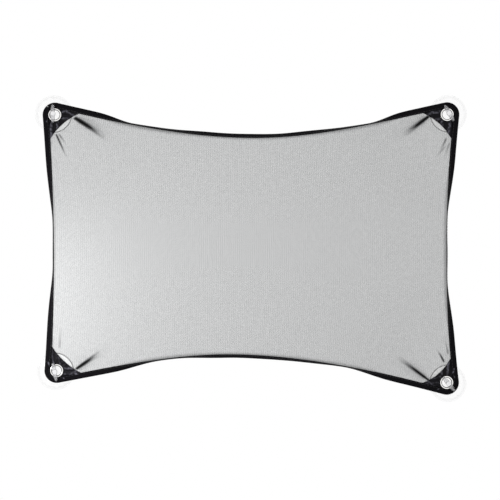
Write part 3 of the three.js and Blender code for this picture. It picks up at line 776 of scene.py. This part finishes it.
def make_patch(name, k, level, face):
    """Straight lines from the eyelet's hole to the outline, with creases that fan out from the eyelet and
    others along both edges. face is 1 on the front and -1 at the back. An attribute marks the crests, and a
    band along the mesh's main fold, the corner's first in the list, where a highlight is painted."""
    outline = patch_outline(k)
    away = outline - eyelet_at[k]
    far = np.linalg.norm(away, axis=1)
    t = np.linspace(0, 1, PATCH_RINGS + 1)[:, None]
    r = CLOTH_HOLE + (far - CLOTH_HOLE) * t
    angle = np.arctan2(away[:, 1] * INWARD[k, 1], away[:, 0] * INWARD[k, 0])
    across, up = r * np.cos(angle), r * np.sin(angle)
    wander = FAN_WANDER[0] * np.sin(FAN_WANDER[1] * angle + k)
    fan = np.sin(FAN_WAVES * angle + FAN_SHIFT * k + wander + FAN_TWIST * r) * smoothstep(r, *FAN_BEGIN)
    wander = ALONG_WANDER[0] * np.sin((across + up) / ALONG_WANDER[1] + 2 * k)
    along = np.sin((np.minimum(across, up) - ALONG_START) / ALONG_RUN + wander)
    along *= smoothstep(np.maximum(across, up), *ALONG_BEGIN)
    lift = CREASE_HEIGHT * (CREASE_SHARES[0] * fan + CREASE_SHARES[1] * along + CREASE_SHARES[2])
    lift *= smoothstep(r, *CREASE_BEGIN) * smoothstep(far - r, 0.0, CREASE_END)
    height = level + face * np.maximum(lift, -CREASE_SINK)
    # Painted highlight on the crests of the creases, and below in a band along the main fold
    crest = smoothstep(PAINTED_HIGHLIGHT_SHARES[0] * fan + PAINTED_HIGHLIGHT_SHARES[1] * along, PAINTED_HIGHLIGHT_FROM, 1.0)
    crest *= smoothstep(r, *PAINTED_HIGHLIGHT_BEGIN)
    start, lean = next((row[1], math.radians(row[2])) for row in FOLDS if row[0] == k)
    off = (up - start[1]) * math.cos(lean) - (across - start[0]) * math.sin(lean)
    band = np.exp(-(((off - BAND_OFFSET) / BAND_WIDTH) ** 2)) * smoothstep(r, *BAND_BEGIN)
    crest = np.maximum(crest, BAND_STRENGTH * band)
    unit = away / far[:, None]
    place = eyelet_at[k] + r[..., None] * unit
    points = np.stack([place[..., 0], -height, place[..., 1]], axis=-1)
    rows, columns = points.shape[:2]
    faces = grid_faces(rows, columns, wrap_columns=True)
    uv = (place - eyelet_at[k]).reshape(-1, 2)
    patch = new_piece(name, points.reshape(-1, 3), faces, uv)
    set_values(patch.data, "painted_crest_highlight", crest)
    wall = patch.modifiers.new("wall", "SOLIDIFY")
    wall.thickness = PATCH_THICKNESS
    wall.offset = 0
    return patch


# Black nylon cloth with a thin coat: a plain weave about 0.45 mm apart, nearly black with a cool cast, and
# a painted grey highlight on the crests of its creases.
CLOTH_PITCH = 0.00045
CLOTH_COLOUR = "060508"
CLOTH_COLOUR_LIGHT = "0f0d13"
CLOTH_COLOUR_PAINTED_HIGHLIGHT = "696872"


def cloth_material():
    """A plain weave, the product of waves along both lengths. An attribute is 1 on a crest, where a highlight
    is painted.
    """
    material, tree = new_material("black_nylon_cloth")
    cloth = add_node(tree, "UVMap", {}, uv_map="cloth").outputs["UV"]
    axes = add_node(tree, "SeparateXYZ", {"Vector": cloth}).outputs
    waves = [wave(tree, axis, CLOTH_PITCH) for axis in axes[:2]]
    weave = add_node(tree, "Math", {0: waves[0], 1: waves[1]}, operation="MULTIPLY").outputs[0]
    rumple = add_node(tree, "TexNoise", {"Vector": cloth, "Scale": 420.0, "Detail": 4.0}).outputs["Fac"]
    relief = add_node(tree, "Math", {0: weave, 1: 0.12, 2: rumple}, operation="MULTIPLY_ADD").outputs[0]
    shade = add_node(tree, "MapRange", {0: rumple, 1: 0.35, 2: 0.7}).outputs[0]
    threads = {0: shade, 6: colour(CLOTH_COLOUR), 7: colour(CLOTH_COLOUR_LIGHT)}
    woven = add_node(tree, "Mix", threads, data_type="RGBA").outputs[2]
    # Painted highlight on the crests, broken up by the noise
    painted_crest_highlight = add_node(tree, "Attribute", {}, attribute_name="painted_crest_highlight").outputs["Fac"]
    painted_crest_highlight = add_node(tree, "Math", {0: painted_crest_highlight, 1: shade}, operation="MULTIPLY").outputs[0]
    crests = {0: painted_crest_highlight, 6: woven, 7: colour(CLOTH_COLOUR_PAINTED_HIGHLIGHT)}
    woven = add_node(tree, "Mix", crests, data_type="RGBA").outputs[2]
    bump = add_node(tree, "Bump", {"Height": relief, "Strength": 0.7, "Distance": 0.00035})
    look = {
        "Base Color": woven,
        "Roughness": add_node(tree, "MapRange", {0: rumple, 1: 0.3, 2: 0.7, 3: 0.34, 4: 0.55}).outputs[0],
        "Specular IOR Level": 0.10,
        "Normal": bump.outputs["Normal"],
    }
    shader = add_node(tree, "BsdfPrincipled", look)
    add_node(tree, "OutputMaterial", {0: shader.outputs[0]})
    return material


patch_cloth = cloth_material()
patch_offset = MESH_THICKNESS / 2 + CLEARANCE + PATCH_THICKNESS / 2
for k, corner in enumerate(CORNERS):
    for side, face in (("front", 1), ("back", -1)):
        patch = make_patch(f"patch_{side}_{corner}", k, MESH_LEVEL + face * patch_offset, face)
        finish_piece(patch, "black_cloth", patch_cloth, f"corner_patch_{side}_{corner}")


# The eyelets and their washers: stamped brass, nickel plated. The flange is domed, the barrel goes through
# the cloth and its end is rolled over the washer at the back.
BORE_RADIUS = 0.0051
BARREL_RADIUS = 0.0055
FLANGE_RADIUS = 0.0069
FLANGE_EDGE = 0.0003
FLANGE_DROP = 0.00015
FLANGE_DISH = 0.00004
FLANGE_HEIGHT = 0.00115
LIP_RADIUS = 0.0009
STACK = MESH_THICKNESS / 2 + CLEARANCE + PATCH_THICKNESS + CLEARANCE
FLANGE_BOTTOM = MESH_LEVEL + STACK
FLANGE_TOP = FLANGE_BOTTOM + FLANGE_HEIGHT
WASHER_TOP = MESH_LEVEL - STACK
WASHER_THICKNESS = 0.0005
RIVET_TOP = WASHER_TOP - WASHER_THICKNESS - CLEARANCE
RIVET_THICKNESS = 0.0006
RIVET_WIDTH = 0.0013
# Where on its lip an eyelet's painted dark fades, as shares of the lip's radius
DARK_PAINT_FADE = (0.6, 1.05)
TURN_STEPS = 96


def quarter(middle, radii, begin, end, steps=10):
    """Points of an elliptical arc in the plane of radius and height, between two angles in degrees."""
    angle = np.radians(np.linspace(begin, end, steps))[:, None]
    return np.array(middle) + np.array(radii) * np.hstack([np.cos(angle), np.sin(angle)])


def make_turned(name, profile, at):
    """A profile of (radius, height) points turned about an axis square to the glass. Its ends meet on the
    axis or in one point."""
    angle = np.linspace(0, 2 * math.pi, TURN_STEPS, endpoint=False)
    r, height = profile[:, 0, None], profile[:, 1, None]
    x = at[0] + r * np.cos(angle)
    z = at[1] + r * np.sin(angle)
    points = np.stack([x, np.broadcast_to(-height, x.shape), z], axis=-1)
    faces = grid_faces(len(profile), TURN_STEPS, wrap_columns=True)
    return new_piece(name, points.reshape(-1, 3), faces, merge=1e-7)


def eyelet_profile():
    """Up the bore, over the lip, out along the slightly domed flange, in under it, down the barrel and round
    the rivet."""
    crest = BORE_RADIUS + LIP_RADIUS
    edge = FLANGE_RADIUS - FLANGE_EDGE
    shoulder = FLANGE_TOP - FLANGE_DROP
    rim = RIVET_THICKNESS / 2
    return np.vstack(
        [
            quarter((crest, FLANGE_TOP - LIP_RADIUS), (LIP_RADIUS, LIP_RADIUS), 180, 90),
            [[radius, FLANGE_TOP - FLANGE_DISH] for radius in np.linspace(crest, edge, 5)[1:-1]],
            quarter((edge, shoulder - FLANGE_EDGE), (FLANGE_EDGE, FLANGE_EDGE), 80, 0, 8),
            [[FLANGE_RADIUS, FLANGE_BOTTOM]],
            [[BARREL_RADIUS, FLANGE_BOTTOM], [BARREL_RADIUS, RIVET_TOP]],
            quarter((BORE_RADIUS + RIVET_WIDTH - rim, RIVET_TOP - rim), (rim, rim), 90, -90),
            quarter((BORE_RADIUS + rim, RIVET_TOP - rim), (rim, rim), -90, -180),
            [[BORE_RADIUS, FLANGE_TOP - LIP_RADIUS]],
        ]
    )


def washer_profile():
    """A flat ring with rounded edges."""
    edge = WASHER_THICKNESS / 2
    level = WASHER_TOP - edge
    ring = np.vstack(
        [
            quarter((FLANGE_RADIUS - edge, level), (edge, edge), 90, -90),
            quarter((BARREL_RADIUS + CLEARANCE + edge, level), (edge, edge), 270, 90),
        ]
    )
    return np.vstack([ring, ring[:1]])


# Bright nickel plate: a slightly warm white metal, polished, with faint swirls from tumbling. Its bore and
# the inner half of its lip are painted near black: a painted shade in the bore, a painted dark reflection on
# the lip.
def nickel_material():
    """Polished metal whose roughness wanders, with a fine orange peel. The bore and the inner half of the lip
    are painted near black by an attribute: a painted shade and a painted dark reflection."""
    material, tree = new_material("nickel_plated_brass")
    place = add_node(tree, "TexCoord", {}).outputs["Object"]
    painted_dark_bore_and_lip = add_node(tree, "Attribute", {}, attribute_name="painted_dark_bore_and_lip").outputs["Fac"]
    swirl = add_node(tree, "TexNoise", {"Vector": place, "Scale": 700.0, "Detail": 4.0}).outputs["Fac"]
    bump = add_node(tree, "Bump", {"Height": swirl, "Strength": 0.15, "Distance": 0.0001})
    # Painted near black in the bore and on the lip's inner half: painted shade and a painted dark reflection
    plates = {0: painted_dark_bore_and_lip, 6: colour("fbfaf8"), 7: colour("0c0b0b")}
    plate = add_node(tree, "Mix", plates, data_type="RGBA").outputs[2]
    look = {
        "Base Color": plate,
        "Metallic": 1.0,
        "Roughness": add_node(tree, "MapRange", {0: swirl, 1: 0.3, 2: 0.7, 3: 0.10, 4: 0.24}).outputs[0],
        "Normal": bump.outputs["Normal"],
    }
    shader = add_node(tree, "BsdfPrincipled", look)
    add_node(tree, "OutputMaterial", {0: shader.outputs[0]})
    return material


def paint_dark_bore_and_lip(eyelet, at):
    """Sets the attribute for the painted dark, which is 1 in the bore and on the inner half of its lip, and 0
    further out.
    """
    x, y, z = point_places(eyelet.data).T
    r = np.hypot(x - at[0], z - at[1])
    inner = 1 - smoothstep((r - BORE_RADIUS) / LIP_RADIUS, *DARK_PAINT_FADE)
    set_values(eyelet.data, "painted_dark_bore_and_lip", inner * (-y > FLANGE_BOTTOM))


nickel = nickel_material()
for k, corner in enumerate(CORNERS):
    eyelet = make_turned(f"eyelet_shell_{corner}", eyelet_profile(), eyelet_at[k])
    paint_dark_bore_and_lip(eyelet, eyelet_at[k])
    finish_piece(eyelet, "eyelet_metal", nickel, f"eyelet_{corner}")
    washer = make_turned(f"washer_ring_{corner}", washer_profile(), eyelet_at[k])
    finish_piece(washer, "eyelet_metal", nickel, f"eyelet_washer_{corner}")


# The suction cups: clear soft PVC, each moulded in one piece. The flat ring at the rim seals on the glass,
# and the T-shaped head is pushed through the eyelet and turned.
HEAD_ANGLES = (91, 120, -50, -78.5)
CUP_RADIUS = 0.020
SEAL_INNER = 0.0176
RIM_THICKNESS = 0.0007
BEAD_RADIUS = 0.0006
CAVITY_DEPTH = 0.0014
CAVITY_POWER = 1.5
FLARE_FOOT = 1.6 * RIM_THICKNESS
FLARE_POWER = 1.7
BOSS_RADIUS = 0.007
BOSS_ROUND = 0.0006
BOSS_HEIGHT = RIVET_TOP - RIVET_THICKNESS - CLEARANCE
STEM_RADIUS = 0.0023
STEM_FILLET = 0.0005
HEAD_BOTTOM = FLANGE_TOP + CLEARANCE
HEAD_THICKNESS = 0.0026
HEAD_LENGTH = 0.0195
HEAD_WIDTH = 0.005
HEAD_END = 0.0014
HEAD_TIP = 0.35
HEAD_POWER = 3
LUG_REACH = 0.017
LUG_RADIUS = 0.0007
LUG_HEIGHT = 0.0023


def cup_profile():
    """From the axis down the hollow, across the seal, over the rim and the flare, and up boss and stem.
    The hollow is a power of 1 - q^2, for q from 0 to 1 outwards, and the flare rises as a power of the
    way in."""
    hollow = np.linspace(0, SEAL_INNER, 20)
    flare = np.linspace(SEAL_INNER - BEAD_RADIUS, BOSS_RADIUS, 20)
    shoulder = BOSS_HEIGHT - BOSS_ROUND
    way_in = (SEAL_INNER - flare) / (SEAL_INNER - BOSS_RADIUS)
    rise = FLARE_FOOT + (shoulder - FLARE_FOOT) * way_in**FLARE_POWER
    edge = RIM_THICKNESS / 2
    top = HEAD_BOTTOM + HEAD_THICKNESS / 2
    return np.vstack(
        [
            np.column_stack([hollow, CAVITY_DEPTH * (1 - (hollow / SEAL_INNER) ** 2) ** CAVITY_POWER]),
            [[CUP_RADIUS - edge, 0]],
            quarter((CUP_RADIUS - edge, edge), (edge, edge), -90, 90, 9)[1:],
            quarter((SEAL_INNER, RIM_THICKNESS), (BEAD_RADIUS, BEAD_RADIUS), 0, 180, 9),
            np.column_stack([flare, rise])[1:],
            quarter((BOSS_RADIUS - BOSS_ROUND, shoulder), (BOSS_ROUND, BOSS_ROUND), 0, 90, 6)[1:],
            [[STEM_RADIUS + STEM_FILLET, BOSS_HEIGHT], [STEM_RADIUS, BOSS_HEIGHT + STEM_FILLET]],
            [[STEM_RADIUS, top], [0, top]],
        ]
    )


def make_head():
    """A bar along X: superelliptic sections, wider in the middle, shut at both round ends. Its tips are
    a share of the middle's thickness."""
    x = -HEAD_LENGTH / 2 * np.cos(np.linspace(0, math.pi, 41))[:, None]
    tip = HEAD_LENGTH / 2 - HEAD_END
    swell = HEAD_END + (HEAD_WIDTH / 2 - HEAD_END) * (1 - (x / tip) ** 2)
    past = np.sqrt(np.clip(1 - (np.maximum(np.abs(x) - tip, 0) / HEAD_END) ** 2, 0, 1))
    half = np.where(np.abs(x) < tip, swell, HEAD_END) * past
    angle = np.linspace(0, 2 * math.pi, 32, endpoint=False)
    c, s = np.cos(angle), np.sin(angle)
    z = half * np.sign(c) * np.abs(c) ** (2 / HEAD_POWER)
    thick = HEAD_THICKNESS / 2 * (HEAD_TIP + (1 - HEAD_TIP) * past)
    rise = thick * np.sign(s) * np.abs(s) ** (2 / HEAD_POWER)
    height = HEAD_BOTTOM + HEAD_THICKNESS / 2 + rise * np.minimum(1, past * 3)
    points = np.stack([np.broadcast_to(x, z.shape), -height, z], axis=-1)
    faces = grid_faces(len(x), len(angle), wrap_columns=True)
    return new_piece("cup_head", points.reshape(-1, 3), faces, merge=1e-7)


def make_cup_blank():
    """Body, head and lug joined into one sealed surface, on an upright axis through the origin."""
    body = make_turned("cup_body", cup_profile(), (0, 0))
    lug_profile = np.vstack(
        [
            [[0, RIM_THICKNESS / 2], [LUG_RADIUS, RIM_THICKNESS / 2]],
            quarter((0, LUG_HEIGHT - LUG_RADIUS), (LUG_RADIUS, LUG_RADIUS), 0, 90, 8),
        ]
    )
    lug = make_turned("cup_lug", lug_profile, (LUG_REACH, 0))
    for part in (make_head(), lug):
        join = body.modifiers.new("join", "BOOLEAN")
        join.operation = "UNION"
        join.solver = "EXACT"
        join.object = part
        whole = bpy.data.meshes.new_from_object(body.evaluated_get(bpy.context.evaluated_depsgraph_get()))
        body.modifiers.clear()
        body.data = whole
        bpy.data.objects.remove(part)
    return body


# Clear plasticised PVC: glassy, index about 1.53, painted greyer where it is seen edge on, a painted shade,
# and a little milky in its thick head, with the faint bloom that soft vinyl gets.
def vinyl_material():
    """Clear plastic whose roughness wanders. Seen edge on, its colour is painted grey, a painted shade. The
    head, where the attribute thick is 1, holds back more of the light."""
    material, tree = new_material("clear_soft_pvc")
    place = add_node(tree, "TexCoord", {}).outputs["Object"]
    bloom = add_node(tree, "TexNoise", {"Vector": place, "Scale": 160.0, "Detail": 3.0}).outputs["Fac"]
    bump = add_node(tree, "Bump", {"Height": bloom, "Strength": 0.12, "Distance": 0.0004})
    # Painted shade: the colour greys where the plastic is seen edge on
    facing = add_node(tree, "LayerWeight", {"Blend": 0.5}).outputs["Facing"]
    edge = add_node(tree, "Math", {0: facing, 1: 1.6}, operation="POWER").outputs[0]
    thick = add_node(tree, "Attribute", {}, attribute_name="thick").outputs["Fac"]
    bodies = {0: thick, 6: colour("ffffff"), 7: colour("dcdcde")}
    body = add_node(tree, "Mix", bodies, data_type="RGBA").outputs[2]
    painted_light_tints = {0: edge, 6: body, 7: colour("565658")}
    painted_light_tint = add_node(tree, "Mix", painted_light_tints, data_type="RGBA").outputs[2]
    clear = add_node(tree, "MapRange", {0: thick, 3: 0.97, 4: 0.80})
    look = {
        "Base Color": painted_light_tint,
        "Roughness": add_node(tree, "MapRange", {0: bloom, 1: 0.3, 2: 0.7, 3: 0.03, 4: 0.12}).outputs[0],
        "IOR": 1.53,
        "Transmission Weight": clear.outputs[0],
        "Normal": bump.outputs["Normal"],
    }
    shader = add_node(tree, "BsdfPrincipled", look)
    add_node(tree, "OutputMaterial", {0: shader.outputs[0]})
    return material


vinyl = vinyl_material()
blank = make_cup_blank()
blank_points = point_places(blank.data)
for k, corner in enumerate(CORNERS):
    turn = math.radians(HEAD_ANGLES[k])
    c, s = math.cos(turn), math.sin(turn)
    points = np.column_stack(
        [
            cup_at[k, 0] + c * blank_points[:, 0] - s * blank_points[:, 2],
            blank_points[:, 1],
            cup_at[k, 1] + s * blank_points[:, 0] + c * blank_points[:, 2],
        ]
    )
    data = blank.data.copy()
    data.vertices.foreach_set("co", points.astype(np.float32).ravel())
    data.update()
    set_values(data, "thick", smoothstep(-points[:, 1], FLANGE_TOP, HEAD_BOTTOM))
    cup = bpy.data.objects.new(f"cup_moulding_{corner}", data)
    bpy.context.collection.objects.link(cup)
    finish_piece(cup, "clear_vinyl", vinyl, f"suction_cup_{corner}")
bpy.data.objects.remove(blank)


# The studio: a pale round floor well below the shade, which fades into a white surround, soft light from
# all round, and a small lamp close by on the lower left, where the photograph is brightest.
FLOOR_HEIGHT = -0.42
FLOOR_RADIUS = 0.75
FADE_RADIUS = 0.45 * FLOOR_RADIUS
SURROUND_LEVEL = 0.85
LAMP_PLACE = (-0.32, -0.17, -0.078)
LAMP_SIZE = 0.08
LAMP_POWER = 0.60


def floor_material():
    """Pale matt floor that fades to the white of the surround towards its edge."""
    material, tree = new_material("pale_floor")
    place = add_node(tree, "TexCoord", {}).outputs["Object"]
    away = add_node(tree, "VectorMath", {0: place}, operation="LENGTH").outputs["Value"]
    matt = add_node(tree, "BsdfDiffuse", {"Color": colour("f4f4f4")})
    white = add_node(tree, "Emission", {"Color": colour("ffffff"), "Strength": 1.0})
    fade = add_node(tree, "MapRange", {0: away, 1: FADE_RADIUS, 2: FLOOR_RADIUS}).outputs[0]
    mix = add_node(tree, "MixShader", {0: fade, 1: matt.outputs[0], 2: white.outputs[0]})
    add_node(tree, "OutputMaterial", {0: mix.outputs[0]})
    return material


def make_floor():
    """A disc about the world's upright axis."""
    angle = np.linspace(0, 2 * math.pi, 96, endpoint=False)
    r = np.array([0.0, FLOOR_RADIUS])[:, None]
    x, y = r * np.cos(angle), r * np.sin(angle)
    points = np.stack([x, y, np.full_like(x, FLOOR_HEIGHT)], axis=-1)
    faces = grid_faces(2, len(angle), wrap_columns=True)
    return new_piece("floor", points.reshape(-1, 3), faces, merge=1e-6)


floor = make_floor()
floor.data.materials.append(floor_material())

world = bpy.data.worlds.new("studio")
bpy.context.scene.world = world
world.use_nodes = True
sky = world.node_tree
sky.nodes.clear()
rays = add_node(sky, "LightPath", {}).outputs
seen = rays["Is Camera Ray"]
for kind in ("Is Glossy Ray", "Is Transmission Ray"):
    seen = add_node(sky, "Math", {0: seen, 1: rays[kind]}, operation="MAXIMUM").outputs[0]
level = add_node(sky, "MapRange", {0: seen, 3: SURROUND_LEVEL, 4: 1.0}).outputs[0]
background = add_node(sky, "Background", {"Color": colour("ffffff"), "Strength": level})
add_node(sky, "OutputWorld", {"Surface": background.outputs[0]})

lamp_data = bpy.data.lights.new("lamp", "AREA")
lamp_data.energy = LAMP_POWER
lamp_data.size = LAMP_SIZE
lamp = bpy.data.objects.new("lamp", lamp_data)
lamp.location = LAMP_PLACE
way = np.array([0.0, -MESH_LEVEL, 0.0]) - np.array(LAMP_PLACE)
lamp.rotation_euler = (
    math.atan2(math.hypot(way[0], way[1]), -way[2]),
    0,
    math.atan2(way[1], way[0]) - math.pi / 2,
)
lamp.visible_camera = False
bpy.context.collection.objects.link(lamp)

bpy.context.scene.view_settings.view_transform = "Standard"
